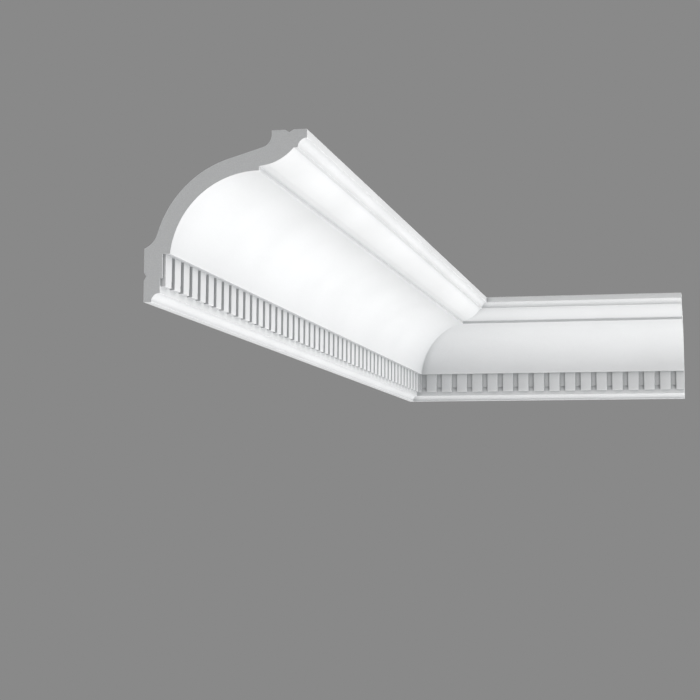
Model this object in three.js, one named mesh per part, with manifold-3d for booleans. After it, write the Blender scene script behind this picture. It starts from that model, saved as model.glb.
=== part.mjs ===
// Cove and dentil cornice moulding: two cast, hollow-backed lengths, mitred round an inside corner.
// Millimetres, +Z up. The origin lies on the left length's back face, halfway along it, in the middle of
// the land below the glue groove. The left length runs along Y and faces +X. The right length starts at
// the corner, runs along +X and faces -Y. The lengths are fixed by their flat back and top faces.

import * as THREE from 'three';
import { mergeVertices } from 'three/addons/utils/BufferGeometryUtils.js';
import Module from 'manifold-3d';

const wasm = await Module();
wasm.setup();

// The run, measured along each length's back, from where the backs meet to the square cut end
const leftLength = 1020;
const rightLength = 355;
const mitreGap = 0.3;

// The section's height down its back and its reach along its top
const drop = 120;
const projection = 119;

// Foot: a thin edge at the back, then a hollow curve out to the fascia
const footDepth = 5.9;
const footRiser = 2;
const footHollowRise = 4.4;
const footHollowTurn = 75;
const fasciaDepth = 12;

// Dentil band: blocks hang from the soffit over the fascia, with a raised panel behind their upper part
const fasciaShow = 5;
const dentilHeight = 23;
const dentilWidth = 13;
const dentilGap = 7;
const dentilProud = 3.7;
const cornerDentilEnd = 18;
const leastDentil = 1;
const panelHeight = 17.4;
const panelProud = 1.6;
const soffitOverhang = 3.6;

// Cove: the big hollow curve takes the room that is left between the soffit and the upper mouldings
const coveTurn = 85;

// Upper mouldings, from the step at the cove's head out to the upright top face
const stepRise = 3;
const flatReach = 6.5;
const flatRise = 1.1;
const ovoloReach = 18.8;
const ovoloRise = 11.3;
const ovoloTurn = 36;
const filletReach = 2.9;
const topHollowRadius = 6.6;
const topFace = 6.3;

// Back: a hollow that leaves one land down the back and one along the top
const shell = 12.4;
const wallLand = 37.5;
const ceilingLand = 25.7;
const hollowSlope = 16;
const ceilingFillet = 9;
const wallFillet = 16;

// Glue grooves, V-shaped, one in each land
const grooveWidth = 6.2;
const grooveDepth = 1.8;
const wallGrooveHeight = 18.6;
const ceilingGrooveInset = 12.8;

// How far a cutting shape runs past the body, and how far a joined block reaches into it
const overrun = 5;
const root = 1;

// Steps in half of each arc, and the distance under which two outline points count as one
const curveSegments = 10;
const samePoint = 1e-3;

const dentilPitch = dentilWidth + dentilGap;
const fasciaLow = -drop + footRiser + footHollowRise;
const soffit = fasciaLow + fasciaShow + dentilHeight;
const coveHead = -(topFace + topHollowRadius + ovoloRise + flatRise + stepRise);
const originHeight = (wallGrooveHeight - grooveWidth / 2) / 2;

// Where an arc lies that leaves point `from`, turns through `turn` degrees and ends at point `to`.
// A positive turn bends left of the way it goes, a negative one right.
function arcBetween(from, to, turn) {
  const angle = THREE.MathUtils.degToRad(turn);
  const chord = to.clone().sub(from);
  const left = new THREE.Vector2(-chord.y, chord.x).multiplyScalar(0.5 / Math.tan(angle / 2));
  const centre = from.clone().add(to).multiplyScalar(0.5).add(left);
  const start = from.clone().sub(centre);
  const radius = start.length();
  return { centre, radius, start: start.angle(), end: start.angle() + angle, clockwise: turn < 0 };
}

function addArc(shape, to, turn) {
  const arc = arcBetween(shape.currentPoint, to, turn);
  shape.absarc(arc.centre.x, arc.centre.y, arc.radius, arc.start, arc.end, arc.clockwise);
}

const upperReach = topHollowRadius + filletReach + ovoloReach + flatReach;
const coveStart = new THREE.Vector2(fasciaDepth + dentilProud + soffitOverhang, soffit);
const coveEnd = new THREE.Vector2(projection - upperReach, coveHead);

// The section's front, closed along its back (x = 0) and its top (y = 0), with no hollow yet
function frontOutline() {
  const flatHeight = coveHead + stepRise;
  const ovoloStart = new THREE.Vector2(coveEnd.x + flatReach, flatHeight + flatRise);
  const ovoloEnd = ovoloStart.clone().add(new THREE.Vector2(ovoloReach, ovoloRise));
  const outline = new THREE.Shape();
  outline.moveTo(0, 0);
  outline.lineTo(0, -drop);
  outline.lineTo(footDepth, -drop);
  outline.lineTo(footDepth, -drop + footRiser);
  addArc(outline, new THREE.Vector2(fasciaDepth, fasciaLow), -footHollowTurn);
  outline.lineTo(fasciaDepth, soffit);
  outline.lineTo(coveStart.x, coveStart.y);
  addArc(outline, coveEnd, -coveTurn);
  outline.lineTo(coveEnd.x, flatHeight);
  outline.lineTo(ovoloStart.x, ovoloStart.y);
  addArc(outline, ovoloEnd, ovoloTurn);
  outline.lineTo(ovoloEnd.x + filletReach, ovoloEnd.y);
  addArc(outline, new THREE.Vector2(projection, -topFace), -90);
  outline.lineTo(projection, 0);
  outline.closePath();
  return outline;
}

// The hollow behind the section. Its middle is an arc about the cove's own centre, a shell's thickness
// behind it. Above, a straight slope and a fillet lead it to the top land; below, a fillet to the back.
function hollowOutline() {
  const cove = arcBetween(coveStart, coveEnd, -coveTurn);
  const radius = cove.radius + shell;
  const slope = THREE.MathUtils.degToRad(hollowSlope);
  const legX = projection - ceilingLand;
  const slopeFacing = new THREE.Vector2(-Math.sin(slope), Math.cos(slope));
  const slopeStart = cove.centre.clone().addScaledVector(slopeFacing, radius);
  const filletX = legX - ceilingFillet;
  const slopeLength = (filletX + ceilingFillet * Math.sin(slope) - slopeStart.x) / Math.cos(slope);
  const filletY = slopeStart.y + slopeLength * Math.sin(slope) + ceilingFillet * Math.cos(slope);
  const landTop = -drop + wallLand;
  const contact = Math.asin((landTop + wallFillet - cove.centre.y) / (radius + wallFillet));
  const lowerX = cove.centre.x - (radius + wallFillet) * Math.cos(contact);
  const above = Math.max(filletY, 0) + overrun;
  const outline = new THREE.Shape();
  outline.moveTo(legX, above);
  outline.lineTo(legX, filletY);
  outline.absarc(filletX, filletY, ceilingFillet, 0, slope - Math.PI / 2, true);
  outline.absarc(cove.centre.x, cove.centre.y, radius, Math.PI / 2 + slope, Math.PI - contact, false);
  outline.absarc(lowerX, landTop + wallFillet, wallFillet, -contact, -Math.PI / 2, true);
  outline.lineTo(Math.min(lowerX, 0) - overrun, landTop);
  outline.lineTo(Math.min(lowerX, 0) - overrun, above);
  outline.closePath();
  return outline;
}

// A V that is cut into a face: its mouth is centred on `mouth`, and `inward` points into the material
function grooveOutline(mouth, inward) {
  const along = new THREE.Vector2(-inward.y, inward.x);
  const spread = (grooveWidth / 2) * (1 + overrun / grooveDepth);
  const outline = new THREE.Shape();
  const outside = mouth.clone().addScaledVector(inward, -overrun);
  const corner = (side) => outside.clone().addScaledVector(along, side * spread);
  outline.setFromPoints([mouth.clone().addScaledVector(inward, grooveDepth), corner(1), corner(-1)]);
  return outline;
}

// A closed three.js geometry as a solid that can be joined and cut
function toSolid(geometry) {
  const positionsOnly = geometry.clone();
  positionsOnly.deleteAttribute('normal');
  positionsOnly.deleteAttribute('uv');
  const merged = mergeVertices(positionsOnly, 1e-4);
  const vertProperties = new Float32Array(merged.attributes.position.array);
  const triVerts = new Uint32Array(merged.index.array);
  return new wasm.Manifold(new wasm.Mesh({ numProp: 3, vertProperties, triVerts }));
}

function toGeometry(solid) {
  const { vertProperties, triVerts } = solid.getMesh();
  const geometry = new THREE.BufferGeometry();
  geometry.setAttribute('position', new THREE.BufferAttribute(vertProperties, 3));
  geometry.setIndex(new THREE.BufferAttribute(triVerts, 1));
  geometry.computeVertexNormals();
  return geometry;
}

// A section outline, drawn as (out from the back, up), carried along the run over a distance `from`..`to`
// from the corner. `side` is -1 where the length lies on the -Y side of the corner and 1 on the +Y side.
function alongWall(outline, from, to, side) {
  const points = outline.getPoints(curveSegments);
  const section = new THREE.Shape(points.filter((p, i) => p.distanceTo(points.at(i - 1)) > samePoint));
  const geometry = new THREE.ExtrudeGeometry(section, { depth: to - from, bevelEnabled: false });
  geometry.rotateX(Math.PI / 2);
  geometry.translate(0, side < 0 ? -from : to, 0);
  return toSolid(geometry);
}

// A block on the fascia that hangs from the soffit, `height` tall and `proud` of the fascia
function fasciaBlock(proud, height, from, to, side) {
  const geometry = new THREE.BoxGeometry(proud + root, to - from, height + root);
  const middle = (side * (from + to)) / 2;
  geometry.translate(fasciaDepth + (proud - root) / 2, middle, soffit + (root - height) / 2);
  return toSolid(geometry);
}

// All that lies past the 45 degree mitre plane, which is set back by half the gap
function mitreKeep(length, side) {
  const setback = mitreGap * Math.SQRT1_2;
  const inner = -overrun;
  const outer = projection + overrun;
  const end = length + overrun;
  const outline = new THREE.Shape();
  outline.moveTo(inner, side * (inner + setback));
  outline.lineTo(outer, side * (outer + setback));
  outline.lineTo(outer, side * end);
  outline.lineTo(inner, side * end);
  outline.closePath();
  const geometry = new THREE.ExtrudeGeometry(outline, { depth: drop + 2 * overrun, bevelEnabled: false });
  geometry.translate(0, 0, -drop - overrun);
  return toSolid(geometry);
}

// One length as it is cast and cut, with the corner of the backs at y = 0 and the top at z = 0
function corniceLength(length, side) {
  const wallMouth = new THREE.Vector2(0, -drop + wallGrooveHeight);
  const ceilingMouth = new THREE.Vector2(projection - ceilingGrooveInset, 0);
  const wallGroove = grooveOutline(wallMouth, new THREE.Vector2(1, 0));
  const ceilingGroove = grooveOutline(ceilingMouth, new THREE.Vector2(0, -1));
  let solid = alongWall(frontOutline(), 0, length, side);
  for (const cut of [hollowOutline(), wallGroove, ceilingGroove]) {
    solid = solid.subtract(alongWall(cut, -overrun, length + overrun, side));
  }
  solid = solid.add(fasciaBlock(panelProud, panelHeight, 0, length, side));
  for (let from = cornerDentilEnd - dentilWidth; from < length - leastDentil; from += dentilPitch) {
    const to = Math.min(from + dentilWidth, length);
    solid = solid.add(fasciaBlock(dentilProud, dentilHeight, from, to, side));
  }
  return toGeometry(solid.intersect(mitreKeep(length, side)));
}

// White primed surface, satin
const primer = { color: 0xf1f2f2, roughness: 0.55, metalness: 0 };

const leftMesh = new THREE.Mesh(corniceLength(leftLength, -1), new THREE.MeshStandardMaterial(primer));
leftMesh.name = 'left_length';

const rightMesh = new THREE.Mesh(corniceLength(rightLength, 1), new THREE.MeshStandardMaterial(primer));
rightMesh.name = 'right_length';
rightMesh.rotation.z = -Math.PI / 2;

// The corner where both backs and both tops meet, seen from the origin
const group = new THREE.Group();
group.position.set(0, leftLength / 2, drop - originHeight);
group.add(leftMesh, rightMesh);

export default group;
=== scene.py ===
import math

import bmesh
import bpy
import numpy as np
from mathutils import Matrix, Vector


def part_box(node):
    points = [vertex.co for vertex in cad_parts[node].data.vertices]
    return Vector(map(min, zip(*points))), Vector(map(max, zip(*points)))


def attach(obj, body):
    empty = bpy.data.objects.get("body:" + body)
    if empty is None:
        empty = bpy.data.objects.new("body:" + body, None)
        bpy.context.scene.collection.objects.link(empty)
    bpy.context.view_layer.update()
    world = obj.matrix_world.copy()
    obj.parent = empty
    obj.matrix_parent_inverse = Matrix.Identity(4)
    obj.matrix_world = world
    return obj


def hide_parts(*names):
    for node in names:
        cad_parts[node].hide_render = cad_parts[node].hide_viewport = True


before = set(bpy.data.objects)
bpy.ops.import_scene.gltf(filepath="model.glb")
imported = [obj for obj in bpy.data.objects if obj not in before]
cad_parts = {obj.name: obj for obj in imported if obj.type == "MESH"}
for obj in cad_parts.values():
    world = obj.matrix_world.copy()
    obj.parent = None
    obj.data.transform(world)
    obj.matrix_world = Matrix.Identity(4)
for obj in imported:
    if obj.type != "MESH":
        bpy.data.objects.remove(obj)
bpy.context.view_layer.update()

body = "root"
mm = 0.001

# The corner, in m, is where the backs and tops of both lengths meet. It and the run's sizes, which are in mm,
# are read from the CAD nodes
leftLow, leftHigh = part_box("left_length")
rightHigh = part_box("right_length")[1]
corner = Vector((leftLow.x, rightHigh.y, leftHigh.z))
drop = (leftHigh.z - leftLow.z) / mm
projection = (leftHigh.x - leftLow.x) / mm
leftLength = (corner.y - leftLow.y) / mm
rightLength = (rightHigh.x - corner.x) / mm
print("frame read: lengths", round(leftLength), "and", round(rightLength), "mm")


# Camera

cameraView = {
    "lens": 83.79,          # mm
    "sensor": 36,           # mm wide
    "clip": (0.05, 50),     # m, the nearest and farthest that is drawn
    "place": (398.2, -2107.1, -270.4),   # mm from the corner
    "yaw": -12.823,         # degrees, negative is to the left of +Y
    "pitch": 5.822,         # degrees, upwards
    "roll": 0.291,          # degrees
}


def makeCamera(view):
    # forward is +Y turned by yaw about the upright and lifted by pitch; right and up stand square to it and
    # to each other, turned about it by roll
    yaw, pitch, roll = (math.radians(view[name]) for name in ("yaw", "pitch", "roll"))
    forward = Vector((math.sin(yaw) * math.cos(pitch), math.cos(yaw) * math.cos(pitch), math.sin(pitch)))
    level = Vector((math.cos(yaw), -math.sin(yaw), 0))
    right = level * math.cos(roll) + level.cross(forward) * math.sin(roll)
    up = right.cross(forward)
    camera = bpy.data.objects.new("camera", bpy.data.cameras.new("camera"))
    camera.data.lens = view["lens"]
    camera.data.sensor_width = view["sensor"]
    camera.data.clip_start, camera.data.clip_end = view["clip"]
    turn = Matrix((right, up, -forward)).transposed().to_4x4()
    camera.matrix_world = Matrix.Translation(corner + Vector(view["place"]) * mm) @ turn
    bpy.context.collection.objects.link(camera)
    bpy.context.scene.camera = camera


makeCamera(cameraView)
print("camera placed")


# Materials

primerLook = {
    "colour": (0.853, 0.86, 0.866),
    "shade": (0.41, 0.42, 0.428),   # painted shade: the coat's colour where it is most shut in, in a crease or deep in the inside corner
    # painted shade, the coat darkened where near faces shut out the light: how near a face has to be to
    # darken
    # the coat, in m, the openness that counts as shut and as clear, and the tone that is left where it is
    # shut:
    # first for creases, then for the inside corner as a whole
    "creaseShade": {"reach": 0.009, "range": (0.35, 1), "least": 0},
    "recessShade": {"reach": 0.2, "range": (0.3, 0.95), "least": 0.15},
    "opennessSamples": 12,
    # slow changes along the length: scale per metre, the stretch of the noise in use, and the tone it gives
    "mottle": {"scale": 14, "detail": 4, "range": (0.35, 0.65), "tone": (0.95, 1)},
    "gloss": {"range": (0.3, 0.7), "roughness": (0.42, 0.56)},
    "grain": {"scale": 900, "detail": 3, "depth": 0.00002},   # the fine skin of the coat, depth in m
}

rawCutLook = {
    "colour": (0.81, 0.82, 0.828),
    "shade": (0.74, 0.75, 0.757),   # the hollow middle of each cell
    "roughness": 0.85,
    "cells": {"scale": 1500, "range": (0.1, 0.7)},   # per metre, the cells of the foam
    "saw": {"scale": 260, "distortion": 3, "share": 0.25},   # per metre, the marks of the saw's teeth
    "reliefDepth": 0.00008,         # m
}


def newMaterial(name):
    material = bpy.data.materials.new(name)
    material.use_nodes = True
    nodes = material.node_tree.nodes
    nodes.clear()
    output = nodes.new("ShaderNodeOutputMaterial")
    shader = nodes.new("ShaderNodeBsdfPrincipled")
    place = nodes.new("ShaderNodeTexCoord")
    material.node_tree.links.new(shader.outputs["BSDF"], output.inputs["Surface"])
    return material, nodes, material.node_tree.links, shader, place.outputs["Object"]


def noiseNode(nodes, links, place, look):
    noise = nodes.new("ShaderNodeTexNoise")
    noise.inputs["Scale"].default_value = look["scale"]
    noise.inputs["Detail"].default_value = look["detail"]
    links.new(place, noise.inputs["Vector"])
    return noise.outputs["Fac"]


def blendColours(nodes, links, factor, first, second):
    mix = nodes.new("ShaderNodeMix")
    mix.data_type = "RGBA"
    mix.inputs["A"].default_value = (*first, 1)
    mix.inputs["B"].default_value = (*second, 1)
    links.new(factor, mix.inputs["Factor"])
    return mix.outputs["Result"]


def spread(nodes, links, value, fromRange, toRange):
    # the ends of fromRange become the ends of toRange, in a straight line between them and held outside
    ranged = nodes.new("ShaderNodeMapRange")
    for socket, end in zip(("From Min", "From Max", "To Min", "To Max"), (*fromRange, *toRange)):
        ranged.inputs[socket].default_value = end
    links.new(value, ranged.inputs["Value"])
    return ranged.outputs["Result"]


def timesNode(nodes, links, first, second):
    times = nodes.new("ShaderNodeMath")
    times.operation = "MULTIPLY"
    links.new(first, times.inputs[0])
    links.new(second, times.inputs[1])
    return times.outputs[0]


def paintedShadeNode(nodes, links, look, samples):
    # openness = share of the half space in front of a point that is clear as far as reach, spread from range
    # to least..1; it sets how far painted shade darkens the coat
    openness = nodes.new("ShaderNodeAmbientOcclusion")
    openness.samples = samples
    openness.inputs["Distance"].default_value = look["reach"]
    return spread(nodes, links, openness.outputs["AO"], look["range"], (look["least"], 1))


def bumpFrom(nodes, links, height, depth, shader):
    bump = nodes.new("ShaderNodeBump")
    bump.inputs["Distance"].default_value = depth
    links.new(height, bump.inputs["Height"])
    links.new(bump.outputs["Normal"], shader.inputs["Normal"])


def makePrimer(look):
    # tone = painted shade of the creases * painted shade of the inside corner * random mottle, and the coat
    # goes from its painted shade colour to its own colour with it
    material, nodes, links, shader, place = newMaterial("whitePrimer")
    mottle = noiseNode(nodes, links, place, look["mottle"])
    grain = noiseNode(nodes, links, place, look["grain"])
    # painted shade: both openness factors darken the base colour in creases and towards the inside corner
    creaseShade = paintedShadeNode(nodes, links, look["creaseShade"], look["opennessSamples"])
    recessShade = paintedShadeNode(nodes, links, look["recessShade"], look["opennessSamples"])
    mottled = spread(nodes, links, mottle, look["mottle"]["range"], look["mottle"]["tone"])
    tone = timesNode(nodes, links, timesNode(nodes, links, creaseShade, recessShade), mottled)
    links.new(blendColours(nodes, links, tone, look["shade"], look["colour"]), shader.inputs["Base Color"])
    gloss = spread(nodes, links, mottle, look["gloss"]["range"], look["gloss"]["roughness"])
    links.new(gloss, shader.inputs["Roughness"])
    bumpFrom(nodes, links, grain, look["grain"]["depth"], shader)
    return material


def makeRawCut(look):
    # height = saw marks * their share + distance from the middle of the cell
    material, nodes, links, shader, place = newMaterial("rawCutFoam")
    cells = nodes.new("ShaderNodeTexVoronoi")
    cells.inputs["Scale"].default_value = look["cells"]["scale"]
    links.new(place, cells.inputs["Vector"])
    marks = nodes.new("ShaderNodeTexWave")
    marks.bands_direction = "Z"
    marks.inputs["Scale"].default_value = look["saw"]["scale"]
    marks.inputs["Distortion"].default_value = look["saw"]["distortion"]
    links.new(place, marks.inputs["Vector"])
    height = nodes.new("ShaderNodeMath")
    height.operation = "MULTIPLY_ADD"
    height.inputs[1].default_value = look["saw"]["share"]
    links.new(marks.outputs["Fac"], height.inputs[0])
    links.new(cells.outputs["Distance"], height.inputs[2])
    tone = spread(nodes, links, cells.outputs["Distance"], look["cells"]["range"], (0, 1))
    links.new(blendColours(nodes, links, tone, look["shade"], look["colour"]), shader.inputs["Base Color"])
    shader.inputs["Roughness"].default_value = look["roughness"]
    bumpFrom(nodes, links, height.outputs[0], look["reliefDepth"], shader)
    return material


whitePrimer = makePrimer(primerLook)
rawCutFoam = makeRawCut(rawCutLook)
print("materials made")


# Section, in mm out from its back and up from its top, so downwards is negative. Turns and slopes in degrees

section = {
    "foot": {"depth": 5.9, "riser": 2, "rise": 4.4, "turn": 75},
    "fascia": {"depth": 12, "show": 5},
    "panel": {"proud": 1.6, "height": 17.4},
    "dentil": {"proud": 3.7, "height": 23, "width": 13, "gap": 7, "cornerEnd": 18},
    "soffitOverhang": 3.6,
    "coveTurn": 85,
    "stepRise": 3,
    "flat": {"reach": 6.5, "rise": 1.1},
    "ovolo": {"reach": 18.8, "rise": 11.3, "turn": 36},
    "filletReach": 2.9,
    "topHollowRadius": 6.6,
    "topFace": 6.3,
    "shell": 12.4,          # thickness behind the cove
    "wallLand": 37.5,       # flat left down the back, below the hollow
    "ceilingLand": 25.7,    # flat left along the top, outside the hollow
    "hollowSlope": 16,
    "ceilingFillet": 9,
    "wallFillet": 16,
    "groove": {"width": 6.2, "depth": 1.8, "wallHeight": 18.6, "ceilingInset": 12.8},
    "mitreGap": 0.04,
    "ease": 0.35,           # how far each hard edge is softened to either side
    "easeMost": 0.45,       # the same as a share of the shorter side, at most
    "easeSteps": 3,
    "tiny": 1e-9,           # keeps a division safe where two points fall together
    # steps in each curve of the outline
    "steps": {"foot": 8, "cove": 36, "ovolo": 12, "topHollow": 9,
              "ceilingFillet": 8, "hollow": 30, "wallFillet": 8},
}

meshFinish = {
    "samePoint": 1e-6,      # m, nearer points are merged
    "sharpFrom": 24,        # degrees, edges that turn more stay sharp
}


def arcCentre(start, end, turn):
    # centre = middle of the chord + the chord turned a quarter left * 0.5 / tangent of half the turn
    chord = end - start
    normal = np.array([-chord[1], chord[0]])
    return (start + end) / 2 + normal * 0.5 / math.tan(math.radians(turn) / 2)


def arcPoints(centre, start, turn, steps):
    # point = centre + (start - centre) turned by equal steps up to the whole turn, the start itself left out
    angle = np.radians(np.linspace(0, turn, steps + 1))[1:]
    x, y = start - centre
    turned = [x * np.cos(angle) - y * np.sin(angle), x * np.sin(angle) + y * np.cos(angle)]
    return centre + np.stack(turned, 1)


def arcTo(start, end, turn, steps):
    # the points of the arc from start to end that turns by turn degrees, to the left where it is positive
    start, end = np.array(start, float), np.array(end, float)
    return arcPoints(arcCentre(start, end, turn), start, turn, steps)


def hollowPoints(sizes, coveStart, coveEnd):
    # the back line from the top down: a leg, a fillet, a straight slope, an arc about the cove's own centre
    # with radius = the cove's + shell, and a fillet that touches the arc and runs out at x = 0
    steps = sizes["steps"]
    upper, lower = sizes["ceilingFillet"], sizes["wallFillet"]
    centre = arcCentre(coveStart, coveEnd, -sizes["coveTurn"])
    radius = np.hypot(*(coveStart - centre)) + sizes["shell"]
    slope = math.radians(sizes["hollowSlope"])
    alongSlope = np.array([math.cos(slope), math.sin(slope)])
    acrossSlope = np.array([-math.sin(slope), math.cos(slope)])
    legX = projection - sizes["ceilingLand"]
    slopeStart = centre + radius * acrossSlope
    slopeLength = (legX - upper + upper * math.sin(slope) - slopeStart[0]) / math.cos(slope)
    upperCentre = slopeStart + (slopeLength * alongSlope + upper * acrossSlope)
    legEnd = upperCentre + np.array([upper, 0])
    landTop = sizes["wallLand"] - drop
    # angles of the lower fillet: where it touches the arc, from level, and where it meets x = 0, from upright
    touch = math.asin((landTop + lower - centre[1]) / (radius + lower))
    lowerCentre = np.array([centre[0] - (radius + lower) * math.cos(touch), landTop + lower])
    lowerStart = lowerCentre + lower * np.array([math.cos(touch), -math.sin(touch)])
    atBack = math.asin(-lowerCentre[0] / lower)
    hollowTurn = 90 - sizes["hollowSlope"] - math.degrees(touch)
    lowerTurn = -(90 - math.degrees(touch) - math.degrees(atBack))
    return np.concatenate([
        [[legX, 0], legEnd],
        arcPoints(upperCentre, legEnd, sizes["hollowSlope"] - 90, steps["ceilingFillet"]),
        [slopeStart],
        arcPoints(centre, slopeStart, hollowTurn, steps["hollow"]),
        arcPoints(lowerCentre, lowerStart, lowerTurn, steps["wallFillet"]),
    ])


def easeCorners(points, hard, sizes):
    # a hard corner becomes the parabola (1 - u)^2 * first + 2 * u * (1 - u) * corner + u^2 * last, where
    # first and last lie on its two sides, ease away or easeMost of the shorter side. A soft one stays
    before = np.roll(points, 1, 0) - points
    after = np.roll(points, -1, 0) - points
    lengths = np.stack([np.hypot(*before.T), np.hypot(*after.T)])
    reach = np.where(hard, np.minimum(sizes["ease"], sizes["easeMost"] * lengths.min(0)), 0)
    shares = (reach / np.maximum(lengths, sizes["tiny"]))[:, :, None]
    first = points + before * shares[0]
    last = points + after * shares[1]
    u = np.linspace(0, 1, sizes["easeSteps"] + 1)[None, :, None]
    curve = (1 - u) ** 2 * first[:, None] + 2 * u * (1 - u) * points[:, None] + u ** 2 * last[:, None]
    kept = hard[:, None] | (np.arange(sizes["easeSteps"] + 1) == 0)
    return curve[kept]


def outlineRows(points, hard=0):
    # rows of (x in a gap, x in a dentil, height, whether it is a hard corner)
    points = np.atleast_2d(np.array(points, float))
    return np.column_stack([points[:, 0], points[:, 0], points[:, 1], np.full(len(points), hard)])


def curveRows(start, end, turn, steps):
    # an arc's inner points, as its two ends are corners of their own
    return outlineRows(arcTo(start, end, turn, steps)[:-1])


def sectionOutlines(sizes):
    # the same closed outline twice, through a gap between dentils and through a dentil. They differ only in
    # how far out the dentil band stands, so they pair off point by point
    foot, dentil, flat, ovolo = sizes["foot"], sizes["dentil"], sizes["flat"], sizes["ovolo"]
    groove, steps = sizes["groove"], sizes["steps"]
    fascia = sizes["fascia"]["depth"]
    panel = fascia + sizes["panel"]["proud"]
    front = fascia + dentil["proud"]
    riserTop = (foot["depth"], foot["riser"] - drop)
    fasciaLow = foot["riser"] + foot["rise"] - drop
    dentilLow = fasciaLow + sizes["fascia"]["show"]
    soffit = dentilLow + dentil["height"]
    panelLow = soffit - sizes["panel"]["height"]
    coveEndX = projection - sizes["topHollowRadius"] - sizes["filletReach"] - ovolo["reach"] - flat["reach"]
    filletZ = -sizes["topFace"] - sizes["topHollowRadius"]
    ovoloStart = np.array([coveEndX + flat["reach"], filletZ - ovolo["rise"]])
    ovoloEnd = np.array([ovoloStart[0] + ovolo["reach"], filletZ])
    coveStart = np.array([front + sizes["soffitOverhang"], soffit])
    coveEnd = np.array([coveEndX, ovoloStart[1] - flat["rise"] - sizes["stepRise"]])
    filletEnd = (ovoloEnd[0] + sizes["filletReach"], filletZ)
    topFaceLow = (projection, -sizes["topFace"])
    half = groove["width"] / 2
    backZ = groove["wallHeight"] - drop
    topX = projection - groove["ceilingInset"]
    backGroove = [(0, backZ + half), (groove["depth"], backZ), (0, backZ - half)]
    topGroove = [(topX + half, 0), (topX, -groove["depth"]), (topX - half, 0)]
    dentilBand = np.array([
        [fascia, fascia, dentilLow, 1],
        [fascia, front, dentilLow, 1],
        [fascia, front, panelLow, 1],
        [panel, front, panelLow, 1],
        [panel, front, soffit, 1],
        [front, front, soffit, 0],
    ])
    outline = np.concatenate([
        outlineRows([(0, -drop), (foot["depth"], -drop), riserTop], 1),
        curveRows(riserTop, (fascia, fasciaLow), -foot["turn"], steps["foot"]),
        outlineRows((fascia, fasciaLow), 1),
        dentilBand,
        outlineRows(coveStart, 1),
        curveRows(coveStart, coveEnd, -sizes["coveTurn"], steps["cove"]),
        outlineRows([coveEnd, (coveEnd[0], coveEnd[1] + sizes["stepRise"]), ovoloStart], 1),
        curveRows(ovoloStart, ovoloEnd, ovolo["turn"], steps["ovolo"]),
        outlineRows([ovoloEnd, filletEnd], 1),
        curveRows(filletEnd, topFaceLow, -90, steps["topHollow"]),
        outlineRows([topFaceLow, (projection, 0)], 1),
        outlineRows(topGroove, 1),
        outlineRows(hollowPoints(sizes, coveStart, coveEnd)),
        outlineRows(backGroove, 1),
    ])
    hard = outline[:, 3] > 0
    return easeCorners(outline[:, [0, 2]], hard, sizes), easeCorners(outline[:, [1, 2]], hard, sizes)


def dentilStations(sizes, length):
    # distances along the run, each with a weight: 0 in a gap, 1 on a dentil. A dentil's side is two stations
    # at one distance, and the edge of its front is a parabola: ease * u^2 in from the side, with
    # weight = 1 - ease / proud * (1 - u)^2
    dentil = sizes["dentil"]
    starts = np.arange(dentil["cornerEnd"] - dentil["width"], length, dentil["width"] + dentil["gap"])
    u = np.linspace(0, 1, sizes["easeSteps"] + 1)
    inset = sizes["ease"] * u ** 2
    rise = 1 - sizes["ease"] / dentil["proud"] * (1 - u) ** 2
    offsets = np.concatenate([[0], inset, (dentil["width"] - inset)[::-1], [dentil["width"]]])
    distances = (starts[:, None] + offsets).ravel()
    weights = np.tile(np.concatenate([[0], rise, rise[::-1], [0]]), len(starts))
    weights = np.where(distances > length, 1, weights)   # the square cut may go through a dentil
    cutWeight = 1 if distances[-1] > length else 0
    stations = np.concatenate([[0], np.minimum(distances, length), [length]])
    return stations, np.concatenate([[0], weights, [cutWeight]])


def sweptLength(sizes, length):
    # every outline point is carried along the run: x = gap x + weight * (dentil x - gap x), z likewise, and
    # y = the distance, held back to the 45 degree mitre plane y = x + setback wherever it would cross it.
    # The setback leaves mitreGap square across the joint
    gapLine, dentilLine = sectionOutlines(sizes)
    distances, weights = dentilStations(sizes, length)
    x = gapLine[:, :1] + weights * (dentilLine[:, :1] - gapLine[:, :1])
    z = gapLine[:, 1:] + weights * (dentilLine[:, 1:] - gapLine[:, 1:])
    setback = sizes["mitreGap"] * math.sqrt(0.5)
    y = np.maximum(distances, x + setback)
    grid = np.stack([x, y, z], -1) * mm
    around, along = x.shape
    i = np.arange(around)[:, None]
    j = np.arange(along - 1)
    nextRow = (i + 1) % around
    quads = np.stack([i * along + j, i * along + j + 1, nextRow * along + j + 1, nextRow * along + j], -1)
    mitreEnd = np.arange(around) * along
    return grid.reshape(-1, 3), quads.reshape(-1, 4), mitreEnd, mitreEnd + along - 1


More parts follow.
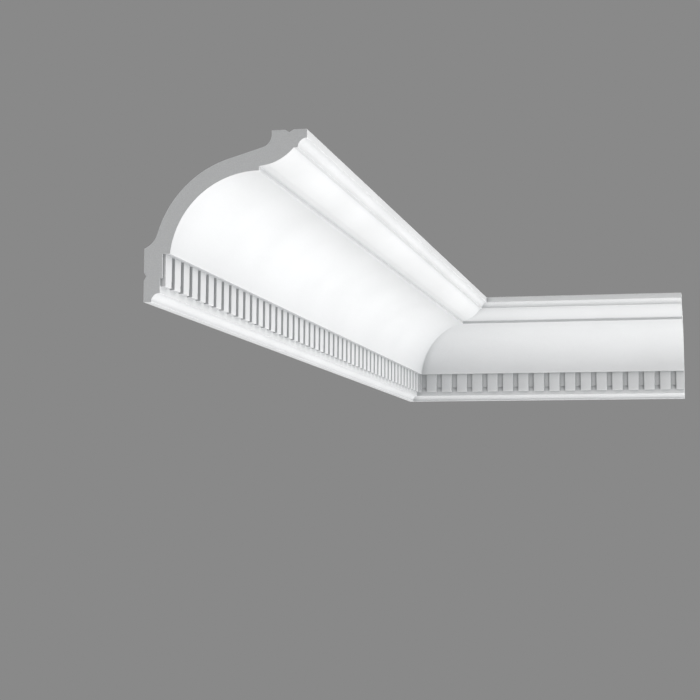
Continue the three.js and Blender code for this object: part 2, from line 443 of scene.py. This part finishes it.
def makeLength(name, length, place):
    # the swept grid, closed by one face on the mitre and, last, one on the square cut, which is bare foam
    points, quads, mitreEnd, cutEnd = sweptLength(section, length)
    mesh = bpy.data.meshes.new(name)
    mesh.from_pydata(place(points), [], [*quads.tolist(), mitreEnd.tolist(), cutEnd.tolist()])
    mesh.materials.append(whitePrimer)
    mesh.materials.append(rawCutFoam)
    slots = np.zeros(len(mesh.polygons), np.int32)
    slots[-1] = 1
    mesh.polygons.foreach_set("material_index", slots)
    work = bmesh.new()
    work.from_mesh(mesh)
    bmesh.ops.remove_doubles(work, verts=work.verts, dist=meshFinish["samePoint"])
    bmesh.ops.dissolve_degenerate(work, dist=meshFinish["samePoint"], edges=work.edges)
    bmesh.ops.delete(work, geom=[edge for edge in work.edges if not edge.link_faces], context="EDGES")
    bmesh.ops.recalc_face_normals(work, faces=work.faces)
    work.to_mesh(mesh)
    work.free()
    mesh.polygons.foreach_set("use_smooth", np.ones(len(mesh.polygons), bool))
    mesh.set_sharp_from_angle(angle=math.radians(meshFinish["sharpFrom"]))
    piece = bpy.data.objects.new(name, mesh)
    bpy.context.collection.objects.link(piece)
    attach(piece, body)
    print(name, "made:", len(mesh.polygons), "faces")
    return piece


def ontoLeft(points):
    # out from the back is +X, away from the corner is -Y
    return np.array(corner) + points * np.array([1, -1, 1])


def ontoRight(points):
    # out from the back is -Y, away from the corner is +X
    return np.array(corner) + points[:, [1, 0, 2]] * np.array([1, -1, 1])


leftPiece = makeLength("left_moulding", leftLength, ontoLeft)
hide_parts("left_length")
rightPiece = makeLength("right_moulding", rightLength, ontoRight)
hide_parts("right_length")


# Stage

stage = {
    "floorBelow": 2400,     # mm below the top of the run, which is fixed high up
    "floorSize": 12000,     # mm
    "floorColour": (0.88, 0.88, 0.865),
    "floorRoughness": 0.9,
    "backdrop": (0.25, 0.25, 0.25),
}

lights = {
    # place in mm from the corner, what it points at, size in mm, watts
    "key": {"place": (1910, -540, -1955), "target": (200, -250, -60), "size": 260, "power": 27.4},
    "frontKey": {"place": (1700, -1500, -1500), "target": (100, -400, -60), "size": 260, "power": 10.2},
    "sideFill": {"place": (3000, -500, -700), "target": (0, -500, -60), "size": 1600, "power": 27},
    "endFill": {"place": (-150, -1500, -120), "target": (60, -1020, -60), "size": 220, "power": 0.17},
    "cameraFill": {"place": (700, -2300, -500), "target": (0, -500, -60), "size": 800, "power": 1.8},
    "underFill": {"place": (300, -400, -2300), "target": (100, -400, -60), "size": 3000, "power": 14.5},
    "topFill": {"place": (-1000, 900, 2400), "target": (0, -200, -1000), "size": 2400, "power": 15},
}

overhead = {
    "strength": 1.5,        # W for each square metre of floor
    "spread": 90,           # degrees, wide and soft round straight down
}


def makeFloor(look):
    half = look["floorSize"] / 2 * mm
    low = corner.z - look["floorBelow"] * mm
    mesh = bpy.data.meshes.new("floor")
    corners = [(-half, -half, low), (half, -half, low), (half, half, low), (-half, half, low)]
    mesh.from_pydata(corners, [], [(0, 1, 2, 3)])
    floor = bpy.data.objects.new("floor", mesh)
    bpy.context.collection.objects.link(floor)
    material = bpy.data.materials.new("paleFloor")
    material.use_nodes = True
    shader = material.node_tree.nodes["Principled BSDF"]
    shader.inputs["Base Color"].default_value = (*look["floorColour"], 1)
    shader.inputs["Roughness"].default_value = look["floorRoughness"]
    mesh.materials.append(material)
    floor.visible_diffuse = False      # the floor can be pale without lighting the run from below


def makeLight(name, look):
    data = bpy.data.lights.new(name, "AREA")
    data.shape = "DISK"
    data.size = look["size"] * mm
    data.energy = look["power"]
    light = bpy.data.objects.new(name, data)
    place = corner + Vector(look["place"]) * mm
    aim = corner + Vector(look["target"]) * mm - place
    light.matrix_world = Matrix.Translation(place) @ aim.to_track_quat("-Z", "Y").to_matrix().to_4x4()
    light.visible_camera = False
    bpy.context.collection.objects.link(light)


def makeOverhead(look):
    data = bpy.data.lights.new("overhead", "SUN")
    data.energy = look["strength"]
    data.angle = math.radians(look["spread"])
    light = bpy.data.objects.new("overhead", data)     # unturned, it shines straight down
    bpy.context.collection.objects.link(light)


def makeBackdrop(look):
    world = bpy.data.worlds.new("studio")
    world.use_nodes = True
    world.node_tree.nodes["Background"].inputs["Color"].default_value = (*look["backdrop"], 1)
    bpy.context.scene.world = world


makeFloor(stage)
for lightName, lightLook in lights.items():
    makeLight(lightName, lightLook)
makeOverhead(overhead)
makeBackdrop(stage)
bpy.context.scene.view_settings.view_transform = "Standard"
print("stage lit")
